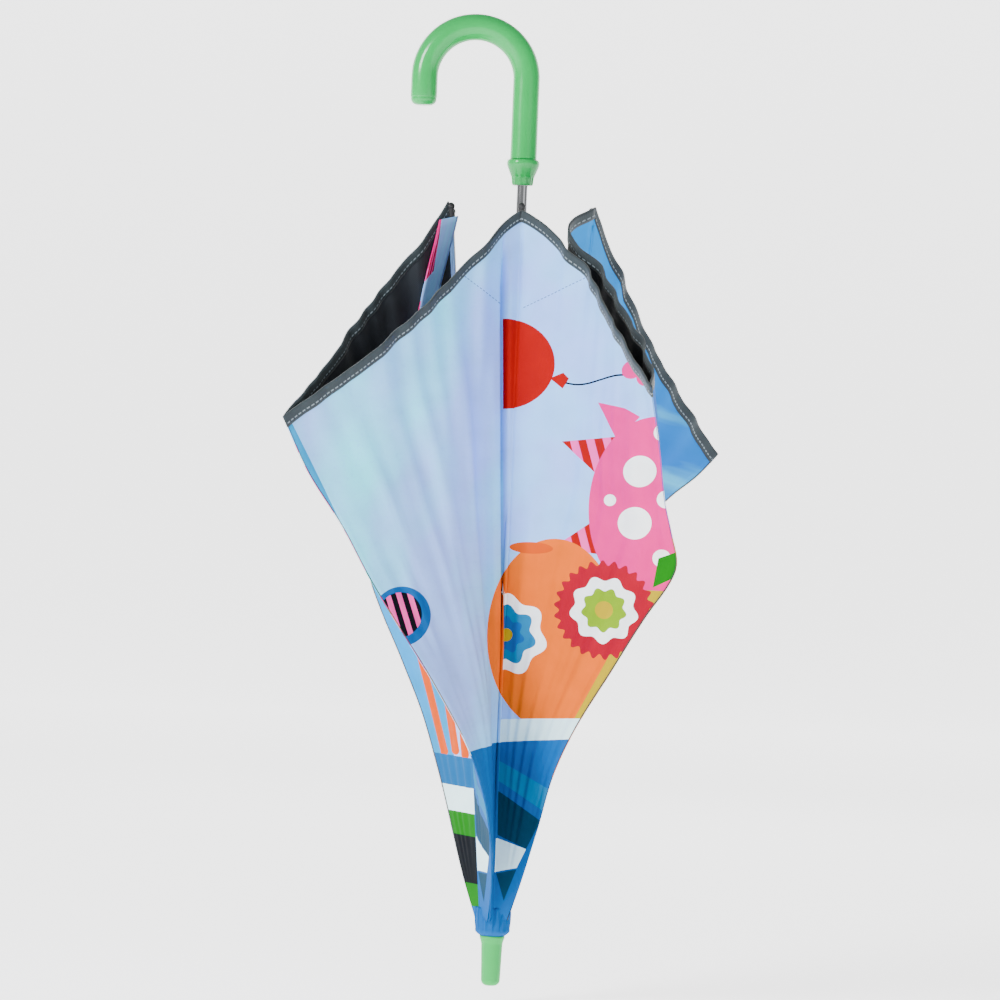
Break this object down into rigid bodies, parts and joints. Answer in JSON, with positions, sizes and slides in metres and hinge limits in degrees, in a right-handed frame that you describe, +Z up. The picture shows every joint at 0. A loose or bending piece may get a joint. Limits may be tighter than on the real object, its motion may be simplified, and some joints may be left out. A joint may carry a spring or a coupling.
{
  "type": "children's umbrella",
  "caption": "Child's folding-rib stick umbrella, closed and hanging by its crook handle, with jointed ribs, stretchers, runner and a printed canopy in loose folds.",
  "frame": {"origin": "inside top of the crook handle, where the umbrella hangs", "axes": "+Z up along the shaft towards the handle, +X from the open side of the crook towards the shaft, +Y away from the viewer"},
  "size_m": [0.3127, 0.3884, 0.6793],
  "materials": {
    "handle_green": "glossy moulded",
    "ferrule_green": "satin moulded",
    "chrome": "plated",
    "steel": "zinc plated",
    "black_plastic": "moulded",
    "canopy_fabric": "printed polyester",
    "hem_tape": "woven binding",
    "hook_tape": "hook and loop"
  },
  "bodies": {
    "frame": {"handle": "handle_green", "handle_pin": "steel", "handle_collar": "handle_green", "shaft": "chrome", "stop_pin": "steel", "ferrule": "ferrule_green", "rosette": "black_plastic", "notch": "black_plastic", "notch_wire": "steel"},
    "rib_1": {"rib_1": "steel", "rib_tip_1": "black_plastic", "rib_pin_1": "steel"},
    "rib_2": {"rib_2": "steel", "rib_tip_2": "black_plastic", "rib_pin_2": "steel"},
    "rib_3": {"rib_3": "steel", "rib_tip_3": "black_plastic", "rib_pin_3": "steel"},
    "rib_4": {"rib_4": "steel", "rib_tip_4": "black_plastic", "rib_pin_4": "steel"},
    "rib_5": {"rib_5": "steel", "rib_tip_5": "black_plastic", "rib_pin_5": "steel"},
    "rib_6": {"rib_6": "steel", "rib_tip_6": "black_plastic", "rib_pin_6": "steel"},
    "stretcher_1": {"stretcher_1": "steel"},
    "stretcher_2": {"stretcher_2": "steel"},
    "stretcher_3": {"stretcher_3": "steel"},
    "stretcher_4": {"stretcher_4": "steel"},
    "stretcher_5": {"stretcher_5": "steel"},
    "stretcher_6": {"stretcher_6": "steel"},
    "runner": {"runner": "black_plastic", "runner_wire": "steel"},
    "panel_1a": {"canopy_panel_1a": "canopy_fabric"},
    "panel_1b": {"canopy_panel_1b": "canopy_fabric"},
    "panel_2a": {"canopy_panel_2a": "canopy_fabric"},
    "panel_2b": {"canopy_panel_2b": "canopy_fabric"},
    "panel_3a": {"canopy_panel_3a": "canopy_fabric"},
    "panel_3b": {"canopy_panel_3b": "canopy_fabric"},
    "panel_4a": {"canopy_panel_4a": "canopy_fabric"},
    "panel_4b": {"canopy_panel_4b": "canopy_fabric"},
    "panel_5a": {"canopy_panel_5a": "canopy_fabric"},
    "panel_5b": {"canopy_panel_5b": "canopy_fabric"},
    "panel_6a": {"canopy_panel_6a": "canopy_fabric", "tie_strap": "canopy_fabric", "strap_patch": "hook_tape"},
    "panel_6b": {"canopy_panel_6b": "canopy_fabric"},
    "closed_catch": {"closed_catch": "steel"},
    "open_catch": {"open_catch": "steel"}
  },
  "joints": [
    {"name": "canopy_open", "type": "hinge", "parent": "frame", "child": "rib_1", "pos_m": [0.0357, -0.0075, -0.61849], "axis": [1, 0, 0], "range_deg": [0, 52.4], "deforming": ["canopy_panel_1a", "canopy_panel_1b", "canopy_panel_2a", "canopy_panel_2b", "canopy_panel_3a", "canopy_panel_3b", "canopy_panel_4a", "canopy_panel_4b", "canopy_panel_5a", "canopy_panel_5b", "canopy_panel_6a", "tie_strap", "strap_patch", "canopy_panel_6b"]},
    {"name": "rib_2_hinge", "type": "hinge", "parent": "frame", "child": "rib_2", "pos_m": [0.0422, -0.00375, -0.61849], "axis": [0.5, 0.866, 0], "range_deg": [0, 52.4]},
    {"name": "rib_3_hinge", "type": "hinge", "parent": "frame", "child": "rib_3", "pos_m": [0.0422, 0.00375, -0.61849], "axis": [-0.5, 0.866, 0], "range_deg": [0, 52.4]},
    {"name": "rib_4_hinge", "type": "hinge", "parent": "frame", "child": "rib_4", "pos_m": [0.0357, 0.0075, -0.61849], "axis": [-1, 0, 0], "range_deg": [0, 52.4]},
    {"name": "rib_5_hinge", "type": "hinge", "parent": "frame", "child": "rib_5", "pos_m": [0.0292, 0.00375, -0.61849], "axis": [-0.5, -0.866, 0], "range_deg": [0, 52.4]},
    {"name": "rib_6_hinge", "type": "hinge", "parent": "frame", "child": "rib_6", "pos_m": [0.0292, -0.00375, -0.61849], "axis": [0.5, -0.866, 0], "range_deg": [0, 52.4]},
    {"name": "stretcher_1_hinge", "type": "hinge", "parent": "rib_1", "child": "stretcher_1", "pos_m": [0.0357, -0.03043, -0.38461], "axis": [1, 0, 0], "range_deg": [-104.8, 0]},
    {"name": "stretcher_2_hinge", "type": "hinge", "parent": "rib_2", "child": "stretcher_2", "pos_m": [0.06205, -0.01522, -0.38461], "axis": [0.5, 0.866, 0], "range_deg": [-104.8, 0]},
    {"name": "stretcher_3_hinge", "type": "hinge", "parent": "rib_3", "child": "stretcher_3", "pos_m": [0.06205, 0.01522, -0.38461], "axis": [-0.5, 0.866, 0], "range_deg": [-104.8, 0]},
    {"name": "stretcher_4_hinge", "type": "hinge", "parent": "rib_4", "child": "stretcher_4", "pos_m": [0.0357, 0.03043, -0.38461], "axis": [-1, 0, 0], "range_deg": [-104.8, 0]},
    {"name": "stretcher_5_hinge", "type": "hinge", "parent": "rib_5", "child": "stretcher_5", "pos_m": [0.00934, 0.01522, -0.38461], "axis": [-0.5, -0.866, 0], "range_deg": [-104.8, 0]},
    {"name": "stretcher_6_hinge", "type": "hinge", "parent": "rib_6", "child": "stretcher_6", "pos_m": [0.00934, -0.01522, -0.38461], "axis": [0.5, -0.866, 0], "range_deg": [-104.8, 0]},
    {"name": "runner_hinge", "type": "hinge", "parent": "stretcher_1", "child": "runner", "pos_m": [0.0357, -0.0075, -0.15073], "axis": [1, 0, 0], "range_deg": [0, 52.4]},
    {"name": "panel_1a_fold", "type": "hinge", "parent": "rib_1", "child": "panel_1a", "pos_m": [0.0357, -0.0075, -0.61849], "axis": [0, -0.0976, 0.9952], "range_deg": [0, 71.15]},
    {"name": "panel_1b_fold", "type": "hinge", "parent": "rib_2", "child": "panel_1b", "pos_m": [0.0422, -0.00375, -0.61849], "axis": [-0.0845, 0.0488, -0.9952], "range_deg": [0, 71.15]},
    {"name": "panel_2a_fold", "type": "hinge", "parent": "rib_2", "child": "panel_2a", "pos_m": [0.0422, -0.00375, -0.61849], "axis": [0.0845, -0.0488, 0.9952], "range_deg": [0, 26.75]},
    {"name": "panel_2b_fold", "type": "hinge", "parent": "rib_3", "child": "panel_2b", "pos_m": [0.0422, 0.00375, -0.61849], "axis": [-0.0845, -0.0488, -0.9952], "range_deg": [0, 119.26]},
    {"name": "panel_3a_fold", "type": "hinge", "parent": "rib_3", "child": "panel_3a", "pos_m": [0.0422, 0.00375, -0.61849], "axis": [0.0845, 0.0488, 0.9952], "range_deg": [0, 48.39]},
    {"name": "panel_3b_fold", "type": "hinge", "parent": "rib_4", "child": "panel_3b", "pos_m": [0.0357, 0.0075, -0.61849], "axis": [0, -0.0976, -0.9952], "range_deg": [0, 94.89]},
    {"name": "panel_4a_fold", "type": "hinge", "parent": "rib_4", "child": "panel_4a", "pos_m": [0.0357, 0.0075, -0.61849], "axis": [0, 0.0976, 0.9952], "range_deg": [0, 94.89]},
    {"name": "panel_4b_fold", "type": "hinge", "parent": "rib_5", "child": "panel_4b", "pos_m": [0.0292, 0.00375, -0.61849], "axis": [0.0845, -0.0488, -0.9952], "range_deg": [0, 48.39]},
    {"name": "panel_5a_fold", "type": "hinge", "parent": "rib_5", "child": "panel_5a", "pos_m": [0.0292, 0.00375, -0.61849], "axis": [-0.0845, 0.0488, 0.9952], "range_deg": [0, 133.95]},
    {"name": "panel_5b_fold", "type": "hinge", "parent": "rib_6", "child": "panel_5b", "pos_m": [0.0292, -0.00375, -0.61849], "axis": [0.0845, 0.0488, -0.9952], "range_deg": [0, 14.31]},
    {"name": "panel_6a_fold", "type": "hinge", "parent": "rib_6", "child": "panel_6a", "pos_m": [0.0292, -0.00375, -0.61849], "axis": [-0.0845, -0.0488, 0.9952], "range_deg": [0, 92.47]},
    {"name": "panel_6b_fold", "type": "hinge", "parent": "rib_1", "child": "panel_6b", "pos_m": [0.0357, -0.0075, -0.61849], "axis": [0, 0.0976, -0.9952], "range_deg": [0, 50.62]},
    {"name": "closed_catch_press", "type": "slide", "parent": "frame", "child": "closed_catch", "axis": [-1, 0, 0], "range_m": [0, 0.002], "stiffness_N_per_m": 400},
    {"name": "open_catch_press", "type": "slide", "parent": "frame", "child": "open_catch", "axis": [-1, 0, 0], "range_m": [0, 0.002], "stiffness_N_per_m": 400}
  ],
  "couplings": [
    {"joint": "rib_2_hinge", "follows": "canopy_open", "ratio": 1},
    {"joint": "rib_3_hinge", "follows": "canopy_open", "ratio": 1},
    {"joint": "rib_4_hinge", "follows": "canopy_open", "ratio": 1},
    {"joint": "rib_5_hinge", "follows": "canopy_open", "ratio": 1},
    {"joint": "rib_6_hinge", "follows": "canopy_open", "ratio": 1},
    {"joint": "stretcher_1_hinge", "follows": "canopy_open", "ratio": -2},
    {"joint": "stretcher_2_hinge", "follows": "canopy_open", "ratio": -2},
    {"joint": "stretcher_3_hinge", "follows": "canopy_open", "ratio": -2},
    {"joint": "stretcher_4_hinge", "follows": "canopy_open", "ratio": -2},
    {"joint": "stretcher_5_hinge", "follows": "canopy_open", "ratio": -2},
    {"joint": "stretcher_6_hinge", "follows": "canopy_open", "ratio": -2},
    {"joint": "runner_hinge", "follows": "canopy_open", "ratio": 1},
    {"joint": "panel_1a_fold", "follows": "canopy_open", "ratio": 1.3577},
    {"joint": "panel_1b_fold", "follows": "canopy_open", "ratio": 1.3577},
    {"joint": "panel_2a_fold", "follows": "canopy_open", "ratio": 0.5103},
    {"joint": "panel_2b_fold", "follows": "canopy_open", "ratio": 2.2757},
    {"joint": "panel_3a_fold", "follows": "canopy_open", "ratio": 0.92334},
    {"joint": "panel_3b_fold", "follows": "canopy_open", "ratio": 1.8106},
    {"joint": "panel_4a_fold", "follows": "canopy_open", "ratio": 1.8106},
    {"joint": "panel_4b_fold", "follows": "canopy_open", "ratio": 0.92334},
    {"joint": "panel_5a_fold", "follows": "canopy_open", "ratio": 2.5561},
    {"joint": "panel_5b_fold", "follows": "canopy_open", "ratio": 0.273},
    {"joint": "panel_6a_fold", "follows": "canopy_open", "ratio": 1.7646},
    {"joint": "panel_6b_fold", "follows": "canopy_open", "ratio": 0.96584}
  ]
}
